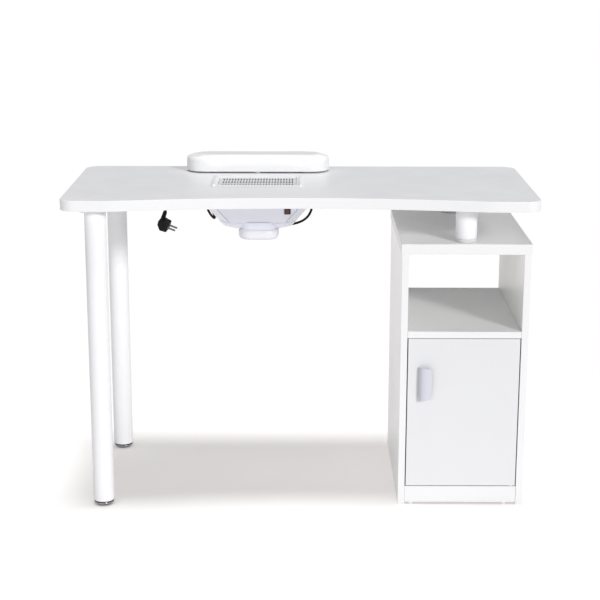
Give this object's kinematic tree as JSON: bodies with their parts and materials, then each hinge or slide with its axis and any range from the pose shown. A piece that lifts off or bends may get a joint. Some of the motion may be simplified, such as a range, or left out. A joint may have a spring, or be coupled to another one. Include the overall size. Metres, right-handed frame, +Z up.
{
  "type": "manicure table",
  "caption": "White manicure table: scooped top with wrist cushion and built-in dust collector, round legs with levelling feet on one side, cupboard with open bay on the other.",
  "frame": {"origin": "on the floor, under the middle of the tabletop's outline", "axes": "+Z up; -Y is the side with the cupboard door and the scooped edge of the top; +X to the right of somebody who faces that side, where the cabinet is"},
  "size_m": [1.1, 0.5, 0.7955],
  "materials": {
    "white_laminate": "smooth white laminate",
    "white_powder_coat": "semi-gloss powder coat",
    "chrome": "polished",
    "zinc_steel": "zinc plated",
    "grey_white_plastic": "satin",
    "white_plastic": "satin",
    "collector_plastic": "satin, cool grey white",
    "vent_metal": "satin painted sheet",
    "black_plastic": "satin",
    "red_plastic": "gloss",
    "handle_plastic": "semi-gloss",
    "cord_rubber": "satin PVC",
    "white_vinyl": "smooth artificial leather"
  },
  "bodies": {
    "table": {"cabinet_back": "white_laminate", "cabinet_bottom": "white_laminate", "cabinet_glide_left": "white_plastic", "cabinet_glide_right": "white_plastic", "cabinet_kick_plate": "white_laminate", "cabinet_shelf": "white_laminate", "cabinet_side_left": "white_laminate", "cabinet_side_right": "white_laminate", "cabinet_top": "white_laminate", "catch_body": "white_plastic", "coil_bracket": "white_plastic", "collector_housing": "collector_plastic", "cord_clip_left_front": "white_plastic", "cord_clip_left_rear": "white_plastic", "cord_clip_plug": "white_plastic", "cord_clip_right": "white_plastic", "cord_coil": "cord_rubber", "cord_strain_relief": "cord_rubber", "cord_to_coil": "cord_rubber", "cord_to_plug": "cord_rubber", "door_bush_lower": "white_plastic", "door_bush_upper": "white_plastic", "fan_frame": "black_plastic", "fan_motor": "zinc_steel", "fan_plate": "collector_plastic", "internal_wires": "cord_rubber", "leg_front_insert": "black_plastic", "leg_front_plate": "white_powder_coat", "leg_front_tube": "white_powder_coat", "leg_rear_insert": "black_plastic", "leg_rear_plate": "white_powder_coat", "leg_rear_tube": "white_powder_coat", "outlet_collar": "collector_plastic", "plug_body": "cord_rubber", "plug_pins": "zinc_steel", "post_front_base": "grey_white_plastic", "post_front_bolt": "zinc_steel", "post_front_plate": "white_powder_coat", "post_front_tube": "white_powder_coat", "post_rear_base": "grey_white_plastic", "post_rear_bolt": "zinc_steel", "post_rear_plate": "white_powder_coat", "post_rear_tube": "white_powder_coat", "switch_body": "black_plastic", "tabletop": "white_laminate", "vent_bezel": "collector_plastic"},
    "door_leaf": {"door": "white_laminate", "door_handle": "handle_plastic", "handle_screw_upper": "zinc_steel", "handle_screw_lower": "zinc_steel", "door_pivot_upper": "zinc_steel", "door_pivot_lower": "zinc_steel", "catch_strike": "zinc_steel"},
    "fan_rotor": {"fan_impeller": "black_plastic"},
    "rocker": {"switch_rocker": "red_plastic"},
    "front_foot": {"leg_front_foot": "chrome"},
    "rear_foot": {"leg_rear_foot": "chrome"},
    "wrist_cushion": {"wrist_cushion_board": "white_laminate", "wrist_cushion_pad": "white_vinyl"},
    "vent_grille": {"vent_plate": "vent_metal"}
  },
  "joints": [
    {"name": "door_hinge", "type": "hinge", "parent": "table", "child": "door_leaf", "pos_m": [0.508, -0.1955, 0.2313], "axis": [0, 0, 1], "range_deg": [0, 110]},
    {"name": "fan_spin", "type": "hinge", "parent": "table", "child": "fan_rotor", "pos_m": [-0.104, 0.016, 0.7025], "axis": [0, 0, 1], "continuous": true},
    {"name": "switch_rock", "type": "hinge", "parent": "table", "child": "rocker", "pos_m": [-0.0313, -0.05176, 0.69019], "axis": [1, 0, 0], "range_deg": [0, 17]},
    {"name": "front_foot_height", "type": "slide", "parent": "table", "child": "front_foot", "axis": [0, 0, -1], "range_m": [0, 0.015]},
    {"name": "rear_foot_height", "type": "slide", "parent": "table", "child": "rear_foot", "axis": [0, 0, -1], "range_m": [0, 0.015]},
    {"name": "cushion_lift_off", "type": "slide", "parent": "table", "child": "wrist_cushion", "axis": [0, 0, 1], "range_m": [0, 0.08]},
    {"name": "vent_plate_lift_out", "type": "slide", "parent": "table", "child": "vent_grille", "axis": [0, 0, 1], "range_m": [0, 0.05]}
  ]
}
